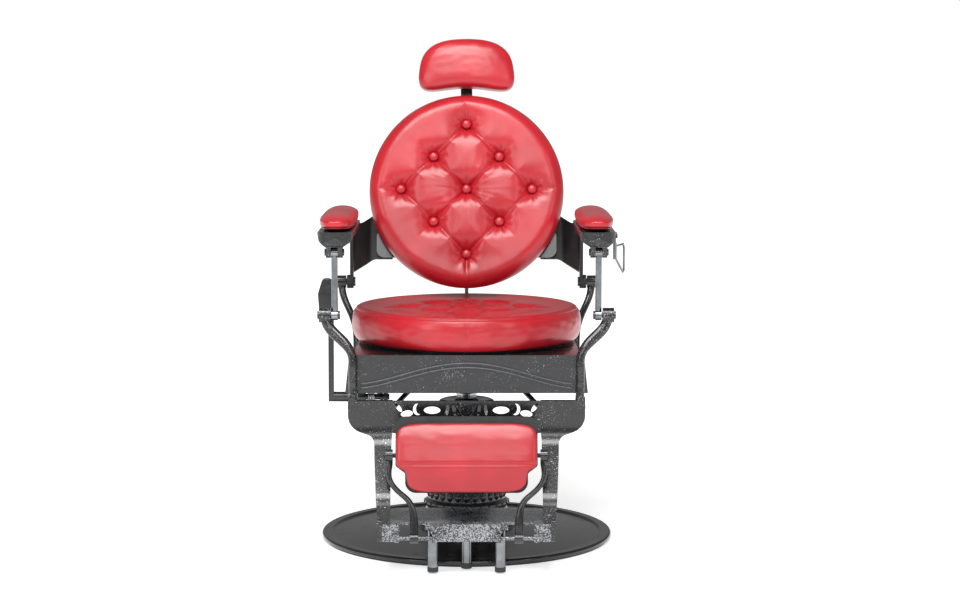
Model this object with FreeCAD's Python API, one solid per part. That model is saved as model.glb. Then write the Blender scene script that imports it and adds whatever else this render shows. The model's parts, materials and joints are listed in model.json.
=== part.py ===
import FreeCAD, Part
import math
import os

# Hydraulic barber chair. Millimetres, +Z up, the sitter faces -Y, +X is the sitter's left.
# The origin is the centre of the round base where it stands on the floor.

V = FreeCAD.Vector

# --- base and hydraulic column ---
BASE_R = 350.0
BASE_RIM_W = 23.0
BASE_RIM_TOP = 16.0
BASE_HUB_R = 120.0
BASE_HUB_TOP = 34.0
FLOOR_RING_H = 5.0
HOUSING_TOP = 329.0
COLUMN_R = 53.0
CYLINDER_R = 43.5
CYLINDER_BORE_R = 32.0
CAP_R = 66.0
RAM_R = 17.0
RAM_BORE_R = 9.0
RAM_TOP = 388.0
PUMP_ROD_TOP = 434.0
FIT = 0.05

# --- seat box ---
BOX_HALF_W = 262.0
BOX_FRONT = -262.0
BOX_REAR = 240.0
BOX_CORNER_R = 70.0
BOX_LOW = 389.0
BOX_TOP = 477.0
WALL = 8.0
DECK_T = 7.0
SIDE_END = 160.0
BEAM_X = 120.0

# --- cushions ---
SEAT_R = 275.0
SEAT_LOW = 483.0
SEAT_TOP = 563.0
SEAT_CROWN = 3.0
BACK_R = 243.0
BACK_LEAN = 12.5
BACK_CENTRE = V(0, 255, 819)
BUTTON_PITCH = 83.0
BUTTON_R = 11.0

# --- front frame and footrest ---
FRAME_FRONT = -288.0
FRAME_T = 18.0
LATTICE_TOP = 375.0
LATTICE_LOW = 300.0
LATTICE_HALF_W = 170.0
TREAD_TOP = 118.0
TREAD_T = 6.0
TREAD_FRONT = -432.0
TREAD_REAR = -246.0
TREAD_HALF_W = 189.8
LIP_LOW = 78.0
LIP_T = 8.0

# --- arm linkage: two equal links, front rods and back brackets ---
FRONT_PIVOT = V(303, -245, 568)
REAR_PIVOT = V(303, 215, 598)
LINK = 145.0
ROD_R = 7.3

# --- calf rest ---
CALF_PIN = V(0, -433, 86)
CALF_PIVOT = V(0, -391, 267)
CALF_LEAN = 13.0

POST_PLACES = [(-76, -408), (0, -371), (76, -408)]

# --- recline strut: both ends lie at one distance from the recline pivot ---
STRUT_LOW = V(0, 295, 435)
STRUT_SPREAD = 118.0

# --- lever and pump linkage ---
LEVER_AXIS = V(0, -60, 350)
CROSS_AXIS = V(0, 70, 440)
CRANK = 36.0


def box(x, y, z):
    """A block between pairs of limits."""
    return Part.makeBox(x[1] - x[0], y[1] - y[0], z[1] - z[0], V(x[0], y[0], z[0]))


def rod(start, end, radius):
    """A round bar between two points."""
    along = end - start
    return Part.makeCylinder(radius, along.Length, start, along)


def rod_x(x, centre, radius):
    """A round bar along X between two X limits, on the centre's Y and Z."""
    return rod(V(x[0], centre.y, centre.z), V(x[1], centre.y, centre.z), radius)


def rod_z(z, x, y, radius):
    """An upright round bar."""
    return rod(V(x, y, z[0]), V(x, y, z[1]), radius)


def fuse(*solids):
    """One solid from several that touch."""
    joined = solids[0].multiFuse(list(solids[1:]))
    return joined.removeSplitter()


def mirror(shape):
    """The same piece for the other side of the chair."""
    return shape.mirror(V(0, 0, 0), V(1, 0, 0))


def in_xz(u, v):
    return V(u, 0, v)


def in_yz(u, v):
    return V(0, u, v)


def in_xy(u, v):
    return V(u, v, 0)


def outline(corners, plane):
    """A closed wire of straight runs; a corner (u, v, r) is rounded with an arc of radius r."""
    edges = []
    ends = []
    count = len(corners)
    for i in range(count):
        corner = corners[i]
        here = plane(corner[0], corner[1])
        radius = corner[2] if len(corner) > 2 else 0
        if radius == 0:
            ends.append((here, here, None))
            continue
        back = (plane(*corners[i - 1][:2]) - here).normalize()
        ahead = (plane(*corners[(i + 1) % count][:2]) - here).normalize()
        half = back.getAngle(ahead) / 2
        cut = radius / math.tan(half)
        centre = here + (back + ahead).normalize() * (radius / math.sin(half))
        middle = centre + (here - centre).normalize() * radius
        ends.append((here + back * cut, here + ahead * cut, middle))
    for i in range(count):
        start, end, middle = ends[i]
        if middle is not None:
            edges.append(Part.Arc(start, middle, end).toShape())
        following = ends[(i + 1) % count][0]
        if (following - end).Length > 1e-6:
            edges.append(Part.LineSegment(end, following).toShape())
    return Part.Wire(edges)


def plate(corners, plane, limits):
    """An outline's face, extruded across its plane between two limits."""
    normal = {in_xz: V(0, 1, 0), in_yz: V(1, 0, 0), in_xy: V(0, 0, 1)}[plane]
    face = Part.Face(outline(corners, plane))
    face.translate(normal * limits[0])
    return face.extrude(normal * (limits[1] - limits[0]))


def turned(corners):
    """A profile of (radius, height) corners, turned about Z."""
    return Part.Face(outline(corners, in_xz)).revolve(V(0, 0, 0), V(0, 0, 1), 360)


def turned_y(corners):
    """A profile of (radius, y) corners, turned about Y."""
    return Part.Face(outline(corners, in_xy)).revolve(V(0, 0, 0), V(0, 1, 0), 360)


def link_plate(x, start, end, start_r, end_r):
    """A flat link in YZ between two round eyes."""
    along = (end - start).normalize()
    across = V(1, 0, 0).cross(along)
    edge = [start + across * start_r, end + across * end_r, end - across * end_r, start - across * start_r]
    web = plate([(p.y, p.z) for p in edge], in_yz, x)
    return fuse(web, rod_x(x, start, start_r), rod_x(x, end, end_r))


def curved_bar(stations):
    """A bar through stations (x, y, z, half width, half depth), its width lying in the XZ plane."""
    points = [V(*s[:3]) for s in stations]
    rings = []
    for i, station in enumerate(stations):
        tangent = (points[min(i + 1, len(points) - 1)] - points[max(i - 1, 0)]).normalize()
        across = tangent.cross(V(0, 1, 0)).normalize() * station[3]
        depth = tangent.cross(across).normalize() * station[4]
        turns = [math.radians(30 * step) for step in range(12)]
        ring = Part.BSplineCurve()
        knots = [points[i] + across * math.cos(t) + depth * math.sin(t) for t in turns]
        ring.interpolate(knots, PeriodicFlag=True)
        rings.append(Part.Wire(ring.toShape()))
    return Part.makeLoft(rings, True, False)


def lean(shape):
    """Move a piece from the back's upright frame to its place: leaned back about X."""
    moved = shape.copy()
    moved.rotate(V(0, 0, 0), V(1, 0, 0), -BACK_LEAN)
    moved.translate(BACK_CENTRE)
    return moved


def unlean(point):
    """A point of the chair in the back's upright frame."""
    turn = FreeCAD.Rotation(V(1, 0, 0), BACK_LEAN)
    return turn.multVec(point - BACK_CENTRE)


# ---------------------------------------------------------------- base and column

def make_base_plate():
    rim_in = BASE_R - BASE_RIM_W
    seat_r = CYLINDER_R + 0.5
    top = [(0, 22), (seat_r, 22), (seat_r, BASE_HUB_TOP), (BASE_HUB_R, BASE_HUB_TOP, 4)]
    dome = [(BASE_HUB_R + 6, BASE_HUB_TOP - 3, 6), (220, 20, 400)]
    dome += [(rim_in - 4, 12, 3), (rim_in, BASE_RIM_TOP, 1.5)]
    rim = [(BASE_R, BASE_RIM_TOP, 5), (BASE_R, FLOOR_RING_H, 2), (306, FLOOR_RING_H)]
    under = [(220, 11, 400), (BASE_HUB_R, 24), (BASE_HUB_R - 8, 14), (0, 14)]
    return turned(top + dome + rim + under)


def make_floor_ring():
    """Rubber ring under the rim, and a rubber pad that carries the hub."""
    ring = turned([(312, 0, 1), (344, 0, 1), (344, FLOOR_RING_H), (312, FLOOR_RING_H)])
    return Part.makeCompound([ring, rod_z((0, 14), 0, 0, 45)])


def housing_bolt_places():
    """Eight bolts on one circle through the housing's foot."""
    turns = [math.radians(45 * step + 22.5) for step in range(8)]
    return [(110.5 * math.cos(turn), 110.5 * math.sin(turn)) for turn in turns]


def make_pump_housing():
    outer = [(118, BASE_HUB_TOP), (118, 44, 3), (104, 50, 8), (96, 80, 10)]
    outer += [(102, 84, 2), (102, 90, 2), (93, 96, 3)]
    collar = [(91, 124, 3), (98, 128, 2), (98, 134, 2), (86, 142, 12), (60, 166, 22), (COLUMN_R, 186, 30)]
    neck = [(COLUMN_R, 306, 3), (60, 312, 2), (60, HOUSING_TOP, 2)]
    bore = [(CYLINDER_R + 0.5, HOUSING_TOP), (CYLINDER_R + 0.5, 172)]
    hollow = [(52, 162, 8), (76, 138, 10), (84, 124, 8), (84, BASE_HUB_TOP)]
    spot_faces = [rod_z((44, 60), x, y, 7) for x, y in housing_bolt_places()]
    return turned(outer + collar + neck + bore + hollow).cut(Part.makeCompound(spot_faces))


def make_pump_cylinder():
    wall = [(CYLINDER_BORE_R, 32), (CYLINDER_BORE_R, 300), (RAM_R + FIT, 300), (RAM_R + FIT, 326, 1)]
    return turned([(0, 22.2), (CYLINDER_R, 22.2), (CYLINDER_R, 326, 2)] + wall[::-1] + [(0, 32)])


def make_column_cap():
    dish = [(RAM_R + 0.6, HOUSING_TOP), (62, HOUSING_TOP), (CAP_R, HOUSING_TOP + 2, 1), (CAP_R, 333, 2)]
    return turned(dish + [(58, 336, 8), (30, 334, 6), (22, 338, 2), (RAM_R + 0.6, 338, 1)])


def make_housing_bolts():
    return Part.makeCompound([rod_z((44, 51), x, y, 5.5) for x, y in housing_bolt_places()])


def make_ram():
    tube = turned([(RAM_BORE_R, 37), (RAM_R, 37), (RAM_R, RAM_TOP, 1.5), (RAM_BORE_R, RAM_TOP, 1)])
    collar = turned([(RAM_R - 1, 341), (24, 341, 1), (24, 345, 1), (RAM_R - 1, 345)])
    return fuse(tube, collar)


def make_ram_piston():
    side = CYLINDER_BORE_R - FIT
    groove = [(side, 38), (side - 2, 38.5), (side - 2, 43), (side, 43.5)]
    top = [(side, 48, 1), (RAM_R + 0.02, 48), (RAM_R + 0.02, 36.95), (0, 36.95)]
    return turned([(0, 32.5), (side, 32.5)] + groove + top)


def make_thrust_bearing():
    return turned([(RAM_R + FIT, 345.05), (25, 345.05, 1), (25, 351.9, 1), (RAM_R + FIT, 351.9)])


def make_pump_rod():
    stem = rod_z((80, PUMP_ROD_TOP - 8), 0, 0, 6)
    head = rod_z((PUMP_ROD_TOP - 8, PUMP_ROD_TOP), 0, 0, 8)
    return fuse(stem, head)


# ---------------------------------------------------------------- seat box

def box_outline(inset, front):
    """The seat box in plan: square in front, rounded corners behind."""
    half = BOX_HALF_W - inset
    rear = BOX_REAR - inset
    corner = BOX_CORNER_R - inset
    return [(half, front), (half, rear, corner), (-half, rear, corner), (-half, front)]


def wave_height(x):
    """Height of the moulded wave on the front apron: low at the sides, high in the middle."""
    swell = 0.5 * (1 + math.cos(math.pi * min(abs(x), 250.0) / 250.0))
    return 411 + 48 * swell ** 0.8


def make_wave_rib(drop):
    """A moulded line that follows the wave, its lower edge drop below it."""
    places = [-242 + 22 * step for step in range(23)]
    edges = []
    for offset in (0.0, 3.0):
        curve = Part.BSplineCurve()
        curve.interpolate([V(x, BOX_FRONT + 1, wave_height(x) - drop + offset) for x in places])
        edges.append(curve)
    ends = []
    for x in (places[0], places[-1]):
        low = wave_height(x) - drop
        ends.append(Part.LineSegment(V(x, BOX_FRONT + 1, low), V(x, BOX_FRONT + 1, low + 3)).toShape())
    wire = Part.Wire(Part.__sortEdges__([edges[0].toShape(), ends[1], edges[1].toShape(), ends[0]]))
    return Part.Face(wire).extrude(V(0, -3, 0))


def make_apron_front():
    corners = [(-270, BOX_TOP, 3), (270, BOX_TOP, 3), (279, 393, 3)]
    corners += [(279, BOX_LOW), (-279, BOX_LOW), (-279, 393, 3)]
    panel = plate(corners, in_xz, (BOX_FRONT, BOX_FRONT + WALL))
    return fuse(panel, make_wave_rib(0), make_wave_rib(10))


def make_apron_left():
    """The sitter's left side, at +X."""
    return box((BOX_HALF_W - WALL, BOX_HALF_W), (BOX_FRONT + WALL, SIDE_END), (BOX_LOW, BOX_TOP))


def make_apron_rear():
    outside = plate(box_outline(0, SIDE_END), in_xy, (BOX_LOW, BOX_TOP))
    inside = plate(box_outline(WALL, SIDE_END - 5), in_xy, (BOX_LOW - 1, BOX_TOP + 1))
    wall = outside.cut(inside)
    ears = []
    for x in ((-15, -8.5), (8.5, 15)):
        end = STRUT_LOW.y
        tip = [(end - 4, 448, 10), (end + 12, 445, 10), (end + 12, 424, 10), (end - 8, 420, 20)]
        ears.append(plate([(BOX_REAR - 1, 400), (BOX_REAR - 1, 470)] + tip, in_yz, x))
    lugged = fuse(wall, *ears)
    return lugged.cut(rod_x((-20, 20), STRUT_LOW, 5))


def make_seat_deck():
    top = plate(box_outline(WALL + 0.3, BOX_FRONT + WALL), in_xy, (BOX_TOP - DECK_T, BOX_TOP))
    opening = rod_z((BOX_TOP - DECK_T - 1, BOX_TOP + 1), 0, 0, 60)
    beams = []
    for side in (-1, 1):
        x = sorted((side * (BEAM_X - 5), side * (BEAM_X + 5)))
        beams.append(box(x, (BOX_FRONT + WALL + 0.2, BOX_REAR - WALL - 0.5), (400, BOX_TOP - DECK_T)))
        arm = sorted((side * 44, side * (BEAM_X - 4)))
        beams.append(box(arm, (-16, 16), (376, BOX_TOP - DECK_T)))
    ring = turned([(30, 376), (62, 376, 2), (62, 392, 2), (30, 392)])
    lug = box((22, 32), (CROSS_AXIS.y - 11, CROSS_AXIS.y + 11), (CROSS_AXIS.z - 11, BOX_TOP - DECK_T))
    deck = fuse(top.cut(opening), ring, lug, *beams)
    return deck.cut(rod_x((-200, 200), CROSS_AXIS, 6 + FIT))


def make_swivel_hub():
    barrel = [(RAM_R + FIT, 352), (27, 352, 2), (29.9, 360, 1), (29.9, 366), (40, 366, 1), (40, 375.9, 1)]
    return turned(barrel + [(29.95, 375.9), (29.95, 392, 1), (RAM_R + FIT, 392, 1)])


def make_seat_board():
    return rod_z((BOX_TOP, SEAT_LOW), 0, 0, 235)


def make_seat_cushion():
    return turned([(0, SEAT_LOW), (SEAT_R, SEAT_LOW, 36), (SEAT_R, SEAT_TOP, 40), (0, SEAT_TOP + SEAT_CROWN)])


# ---------------------------------------------------------------- front frame and footrest

def bolt_heads(grow):
    """Heads on the +X side: front arm and rear arm to the seat box, leg to the foot cheek."""
    heads = [rod(V(261, -285, z), V(261, -290, z), 7 + grow) for z in (412, 448)]
    heads += [rod(V(267, y, z), V(272.5, y, z), 5 + grow) for y in (118, 158) for z in (410, 454)]
    return heads + [rod(V(199, y, 108), V(204, y, 108), 6 + grow) for y in (-390, -290)]


def make_side_frame_left():
    """One casting: front arm with its boss, shoulder, leg and foot cheek, on the +X side."""
    arm = curved_bar([
        (324, -245, 564, 11, 10), (321, -247, 549, 12, 10), (311, -251, 534, 12.5, 10),
        (294, -258, 518, 12.5, 10.5), (276, -266, 501, 11.5, 11), (264, -272, 481, 10, 11.5),
        (261, -274.2, 455, 10, 12), (261, -274.2, 400, 10, 12), (261, -275, 368, 11, 12),
        (259, -277, 350, 10, 8)])
    boss = rod_x((313, 339), FRONT_PIVOT, 17)
    face = [(LATTICE_HALF_W, LATTICE_TOP), (250, LATTICE_TOP, 8), (272, 386, 3)]
    face += [(272, 312, 40), (212, 292, 22), (210, 250, 60), (199.8, TREAD_TOP)]
    face += [(172, TREAD_TOP), (172, 286, 12), (LATTICE_HALF_W, LATTICE_LOW, 3)]
    front = [(FRAME_FRONT, 400), (FRAME_FRONT, 292, 60), (-412, 172, 60), (TREAD_FRONT + 4, TREAD_TOP)]
    back = FRAME_FRONT + FRAME_T
    rear = [(-408, TREAD_TOP), (-392, 165, 60), (back, 282, 60), (back, 400)]
    leg = plate(face, in_xz, (-470, -230)).common(plate(front + rear, in_yz, (150, 290)))
    deep = [(-372, TREAD_TOP), (-360, 150, 50), (-248, 286, 60), (-252, 362, 12), (-276, 362)]
    rib = plate(front[1:3] + [(-424, TREAD_TOP)] + deep, in_yz, (187, 196))
    ribbed = fuse(leg, rib.common(plate(face, in_xz, (-470, -230))))
    side = [(TREAD_FRONT - 1, LIP_LOW, 4), (TREAD_REAR, 92, 12)]
    side += [(TREAD_REAR, 126, 14), (TREAD_FRONT - 1, 126, 4)]
    cheek = plate(side, in_yz, (TREAD_HALF_W + 0.2, 200))
    frame = fuse(arm, boss, ribbed, cheek).cut(box((240, 290), (BOX_FRONT - 0.05, -240), (380, 485)))
    return frame.cut(Part.makeCompound(bolt_heads(0.1) + [rod_x((310, 342), FRONT_PIVOT, 6)]))


def ellipse_hole(x, z, half_w, half_h, tilt=0):
    """A through cut in the lattice plate with an elliptical outline."""
    long_half = max(half_w, half_h)
    short_half = min(half_w, half_h)
    edge = Part.Ellipse(V(0, 0, 0), long_half, short_half).toShape()
    hole = Part.Face(Part.Wire(edge)).extrude(V(0, 0, 40))
    hole.rotate(V(0, 0, 0), V(1, 0, 0), 90)
    if half_h > half_w:
        tilt = tilt + 90
    hole.rotate(V(0, 0, 0), V(0, 1, 0), tilt)
    hole.translate(V(x, FRAME_FRONT + 30, z))
    return hole


def make_lattice_plate():
    corners = [(-LATTICE_HALF_W, LATTICE_LOW, 3), (LATTICE_HALF_W, LATTICE_LOW, 3)]
    corners += [(LATTICE_HALF_W, LATTICE_TOP), (-LATTICE_HALF_W, LATTICE_TOP)]
    panel = plate(corners, in_xz, (FRAME_FRONT, FRAME_FRONT + 8))
    holes = []
    for side in (-1, 1):
        holes.append(ellipse_hole(side * 79, 353, 19, 9))
        holes.append(ellipse_hole(side * 137, 345, 14, 8, side * 10))
        crescent = ellipse_hole(side * 112, 355, 11, 14).cut(ellipse_hole(side * 106, 357, 10, 13))
        holes.append(crescent)
        for step in range(3):
            holes.append(ellipse_hole(side * (14 + 15 * step), 355, 3.6, 16 - step, side * (24 - 16 * step)))
        holes.append(ellipse_hole(side * 156, 359, 5, 12, side * 35))
    return panel.cut(Part.makeCompound(holes))


def make_footrest_tread():
    half = TREAD_HALF_W
    top = [(-half, TREAD_FRONT, 2), (half, TREAD_FRONT, 2), (half, TREAD_REAR, 40), (-half, TREAD_REAR, 40)]
    tread = plate(top, in_xy, (TREAD_TOP - TREAD_T, TREAD_TOP))
    lip = box((-half, half), (TREAD_FRONT, TREAD_FRONT + LIP_T), (LIP_LOW, TREAD_TOP - 1))
    ribs = [box((x - 3, x + 3), (TREAD_FRONT + LIP_T - 1, TREAD_REAR + 14), (96, TREAD_TOP - TREAD_T))
            for x in (-172, -52, 52, 172)]
    pads = [rod_z((100, TREAD_TOP - TREAD_T), x, y, 18) for x, y in POST_PLACES]
    body = fuse(tread, lip, *ribs, *pads)
    for side in (-1, 1):
        notch = sorted((side * 77, side * 151))
        body = body.cut(box(notch, (TREAD_FRONT - 10, TREAD_FRONT + 22), (LIP_LOW - 5, TREAD_TOP + 5)))
        lugs = []
        for x in (66, 151):
            lug = sorted((side * x, side * (x + 11)))
            lugs.append(box(lug, (CALF_PIN.y - 8, TREAD_FRONT + LIP_T), (LIP_LOW, 97)))
        pin = sorted((side * 68, side * 160))
        body = fuse(body, *lugs, rod_x(pin, CALF_PIN, 4.5))
    return body


def make_foot_posts():
    posts = []
    for x, y in POST_PLACES:
        foot = 12 if y > -390 else 10
        posts.append(rod_z((foot, 99.9), x, y, 11.5))
    return Part.makeCompound(posts)


def make_foot_tips():
    tips = []
    for x, y in POST_PLACES:
        foot = 12 if y > -390 else 10
        cup = [(11.6, foot + 6), (11.6, foot - 0.1), (0, foot - 0.1)]
        tip = turned([(0, 4), (12.5, 4, 2.5), (12.5, foot + 6, 1)] + cup)
        tip.translate(V(x, y, 0))
        tips.append(tip)
    return Part.makeCompound(tips)


def make_seat_braces():
    """Two sloping stays from the deck's beams to the shoulders."""
    stay = rod(V(122, -170, 393.8), V(176, -262, 348), 6)
    foot = box((166, 186), (FRAME_FRONT + FRAME_T, -260), (338, 360))
    head = box((114, 130), (-182, -158), (390, 400))
    one = fuse(stay, foot, head)
    return Part.makeCompound([one, mirror(one)])


def make_rear_arm_left():
    """Curved arm on the +X side, from the recline pivot down to the side apron."""
    arm = curved_bar([
        (311, 214, 592, 9, 9), (309.5, 211, 574, 9, 8.5), (303, 203, 553, 8.5, 8.5),
        (292, 190, 531, 8.5, 8.5), (281, 172, 508, 8.5, 9), (274, 154, 486, 8.7, 9.5),
        (271.2, 142, 462, 9, 10), (271.2, 138, 435, 9, 12), (271.2, 138, 402, 9, 13)])
    boss = rod_x((300, 324), REAR_PIVOT, 15.5)
    flange = plate([(112, 398, 8), (164, 398, 8), (164, 466, 8), (112, 466, 8)], in_yz, (BOX_HALF_W, 268))
    whole = fuse(arm, boss, flange).cut(box((240, BOX_HALF_W), (80, 220), (380, 485)))
    return whole.cut(Part.makeCompound(bolt_heads(0.1) + [rod_x((290, 340), REAR_PIVOT, 8)]))


def make_arm_pivot_pins():
    front = fuse(rod_x((291, 339), FRONT_PIVOT, 6), rod_x((291, 295.5), FRONT_PIVOT, 9.5))
    front = fuse(front, rod_x((339, 343), FRONT_PIVOT, 9))
    rear = fuse(rod_x((277, 324), REAR_PIVOT, 8), rod_x((277, 281.4), REAR_PIVOT, 12))
    rear = fuse(rear, rod_x((324, 328), REAR_PIVOT, 11))
    pins = [front, rear]
    return Part.makeCompound(pins + [mirror(pin) for pin in pins])


def make_frame_bolts():
    heads = bolt_heads(0)
    return Part.makeCompound(heads + [mirror(head) for head in heads])


def make_lever_bearing():
    """Bracket under the deck with two lugs that carry the lever's shaft, on the -X side."""
    y = (LEVER_AXIS.y - 12, LEVER_AXIS.y + 12)
    outer = fuse(rod_x((-262, -240), LEVER_AXIS, 14), box((-262, -240), y, (LEVER_AXIS.z, BOX_LOW - 0.1)))
    inner = fuse(rod_x((-198, -188), LEVER_AXIS, 12), box((-198, -188), y, (LEVER_AXIS.z, BOX_LOW + 4)))
    strip = box((-253.5, -188), y, (BOX_LOW - 6, BOX_LOW + 2))
    post = box((-244, -228), y, (BOX_LOW, BOX_TOP - DECK_T - 0.1))
    return fuse(outer, inner, strip, post).cut(rod_x((-270, -180), LEVER_AXIS, 7 + FIT))


def make_lever_spring():
    """Return spring: a coil round the lever's shaft between the bearing's lugs."""
    coil_r = 10.4
    wire_r = 1.5
    helix = Part.makeHelix(4.0, 16.0, coil_r)
    section = Part.Wire(Part.Circle(V(coil_r, 0, 0), V(0, 1, 0), wire_r).toShape())
    coil = Part.Wire(helix).makePipeShell([section], True, True)
    coil.rotate(V(0, 0, 0), V(0, 1, 0), 90)
    coil.translate(V(-236, LEVER_AXIS.y, LEVER_AXIS.z))
    return coil


# ---------------------------------------------------------------- back

def button_places(pitch):
    """A square grid of nine, stood on its corner."""
    places = [(0, 0)]
    for side in (-1, 1):
        places += [(side * 2 * pitch, 0), (0, side * 2 * pitch), (side * pitch, side * pitch)]
        places.append((side * pitch, -side * pitch))
    return places


def make_back_cushion():
    cushion = turned_y([(0, -44), (BACK_R, -44, 34), (BACK_R, 30, 28), (0, 30)])
    pockets = [rod(V(x, -60, z), V(x, -27, z), BUTTON_R + 2) for x, z in button_places(BUTTON_PITCH)]
    return lean(cushion.cut(Part.makeCompound(pockets)))


def make_back_buttons():
    buttons = []
    for x, z in button_places(BUTTON_PITCH):
        button = turned_y([(0, -38), (6, -38, 5), (BUTTON_R, -34.5, 2), (BUTTON_R, -27.1), (0, -27.1)])
        button.translate(V(x, 0, z))
        buttons.append(lean(button))
    return Part.makeCompound(buttons)


def make_back_board():
    return lean(turned_y([(0, 30.2), (234, 30.2, 1), (234, 41.8, 6), (0, 41.8)]))


def make_back_frame():
    bar = plate([(-226, -160, 20), (226, -160, 20), (226, -88, 20), (-226, -88, 20)], in_xz, (42, 54))
    spine = plate([(-30, -120), (30, -120), (25, 190, 10), (-25, 190, 10)], in_xz, (42, 54))
    top = unlean(STRUT_HIGH)
    ears = []
    for x in ((-15, -8.5), (8.5, 15)):
        tip = [(top.y, top.z + 13, 9), (top.y + 13, top.z, 9), (top.y, top.z - 13, 9)]
        ears.append(plate([(53, -84), (53, -36)] + tip, in_yz, x))
    frame = fuse(bar, spine, *ears)
    return lean(frame.cut(rod_x((-20, 20), top, 5)))


def make_back_bracket_left():
    """Link from the recline pivot up to the armrest's pin, with a wing that carries the back frame."""
    low = unlean(V(0, REAR_PIVOT.y, REAR_PIVOT.z))
    high = unlean(V(0, REAR_PIVOT.y, REAR_PIVOT.z + LINK))
    side = link_plate((282, 290), low, high, 17, 14)
    plan = [(290, -14), (290, 30, 16), (247, 66, 20), (186, 66)]
    plan += [(186, 54.2), (242, 54.2, 16), (282, 20, 10), (282, -14)]
    face = [(186, -162), (234, -162, 24), (292, -206, 8)]
    face += [(292, -82, 8), (262, -72, 16), (236, -52, 10), (186, -52)]
    wing = plate(plan, in_xy, (-260, 0)).common(plate(face, in_xz, (-40, 90)))
    bracket = fuse(side, wing, rod_x((289, 298), low, 17))
    bored = bracket.cut(rod_x((270, 310), low, 8 + FIT)).cut(rod_x((270, 310), high, 6 + FIT))
    return lean(bored)


def make_headrest_socket():
    block = plate([(-26, 70, 6), (26, 70, 6), (26, 170, 6), (-26, 170, 6)], in_xz, (54.1, 80))
    slot = box((-14.6, 14.6), (62, 70.2), (60, 180))
    return lean(block.cut(slot).cut(rod(V(0, 66, 120), V(0, 90, 120), 4 + FIT)))


# ---------------------------------------------------------------- headrest

HINGE = V(0, 66, 300)


def make_headrest_bar():
    bar = box((-14.5, 14.5), (62.1, 70.1), (-10, 296))
    return lean(fuse(bar, rod_x((-14.5, 14.5), HINGE, 9)).cut(rod_x((-20, 20), HINGE, 4 + FIT)))


def make_headrest_bracket():
    back = plate([(-50, 272, 10), (50, 272, 10), (50, 370, 10), (-50, 370, 10)], in_xz, (46.2, 51))
    pieces = [back, rod_x((-23, 23), HINGE, 4)]
    for x in ((-20, -15.2), (15.2, 20)):
        pieces.append(box(x, (50, 66), (291, 309)))
        pieces.append(rod_x(x, HINGE, 9))
    return lean(fuse(*pieces))


def make_headrest_pad():
    face = [(-121, 250, 30), (121, 250, 30), (119, 397, 62), (-119, 397, 62)]
    side = [(-28, 254, 30), (-28, 390, 36), (46, 396, 16), (46, 252, 12)]
    return lean(plate(face, in_xz, (-40, 60)).common(plate(side, in_yz, (-130, 130))))


def make_headrest_knob():
    """Hand knob that clamps the bar in its socket."""
    stud = rod(V(0, 70.6, 120), V(0, 90, 120), 4)
    grip = rod(V(0, 86, 120), V(0, 104, 120), 15)
    lobes = []
    for step in range(5):
        turn = math.radians(72 * step)
        place = V(13 * math.cos(turn), 86, 120 + 13 * math.sin(turn))
        lobes.append(rod(place, place + V(0, 18, 0), 5.5))
    return lean(fuse(stud, grip, *lobes))


# ---------------------------------------------------------------- armrests and rods

def front_top():
    return FRONT_PIVOT + V(0, 0, LINK)


def rear_top():
    return REAR_PIVOT + V(0, 0, LINK)


def make_armrest_body_plain():
    """Cast body on the +X side: a boat-shaped cup, a fork for the front rod and a tang behind."""
    section = [(257, 763, 3), (341, 763, 3), (337, 742, 10), (321, 727, 9), (283, 727, 9), (261, 742, 10)]
    side = [(-304, 764), (-304, 745, 10), (-286, 726, 16), (-90, 726, 120)]
    side += [(40, 736, 60), (124, 741, 6), (124, 764)]
    plan = [(256, -304, 40), (342, -304, 40), (342, 60, 70), (316, 124, 12), (282, 124, 12), (256, 60, 70)]
    body = plate(section, in_xz, (-320, 140)).common(plate(side, in_yz, (250, 350)))
    body = body.common(plate(plan, in_xy, (700, 780)))
    tang = plate([(96, 740), (150, 733, 40), (211, 730), (219, 756), (96, 762)], in_yz, (293, 303))
    pieces = [body, tang, rod_x((293, 303), rear_top(), 14)]
    for x in ((284, 294.6), (311.4, 322)):
        pieces.append(plate([(-264, 731), (-226, 731), (-233, 710), (-257, 710)], in_yz, x))
        pieces.append(rod_x(x, front_top(), 13))
    whole = fuse(*pieces)
    return whole.cut(rod_x((270, 330), front_top(), 5)).cut(rod_x((285, 310), rear_top(), 6))


def make_armrest_body_left():
    """The sitter's left armrest also carries the towel ring's lug."""
    lug = fuse(box((334, 346), (-154, -146), (740, 747)), rod_z((738, 748), RING_PIN.x, RING_PIN.y, 6.5))
    return fuse(make_armrest_body_plain(), lug).cut(rod_z((730, 760), RING_PIN.x, RING_PIN.y, 3 + FIT))


def make_armrest_pad_left():
    plan = [(258, -302, 39), (340, -302, 39), (340, 60, 69), (315, 122, 11), (283, 122, 11), (258, 60, 69)]
    section = [(258, 763.2), (340, 763.2), (340, 778, 5), (330, 796, 15), (268, 796, 15), (258, 778, 5)]
    side = [(-302, 763.2), (-302, 776, 8), (-284, 796, 18), (40, 797, 90), (122, 786, 12), (122, 763.2)]
    pad = plate(section, in_xz, (-320, 140)).common(plate(side, in_yz, (250, 350)))
    return pad.common(plate(plan, in_xy, (750, 800)))


def make_armrest_pins_left():
    front = fuse(rod_x((282, 324), front_top(), 5), rod_x((280.5, 284), front_top(), 8))
    front = fuse(front, rod_x((322, 325.5), front_top(), 8))
    rear = fuse(rod_x((278, 307), rear_top(), 6), rod_x((277.5, 281.5), rear_top(), 9))
    rear = fuse(rear, rod_x((303, 307.5), rear_top(), 9))
    return Part.makeCompound([front, rear])


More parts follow.
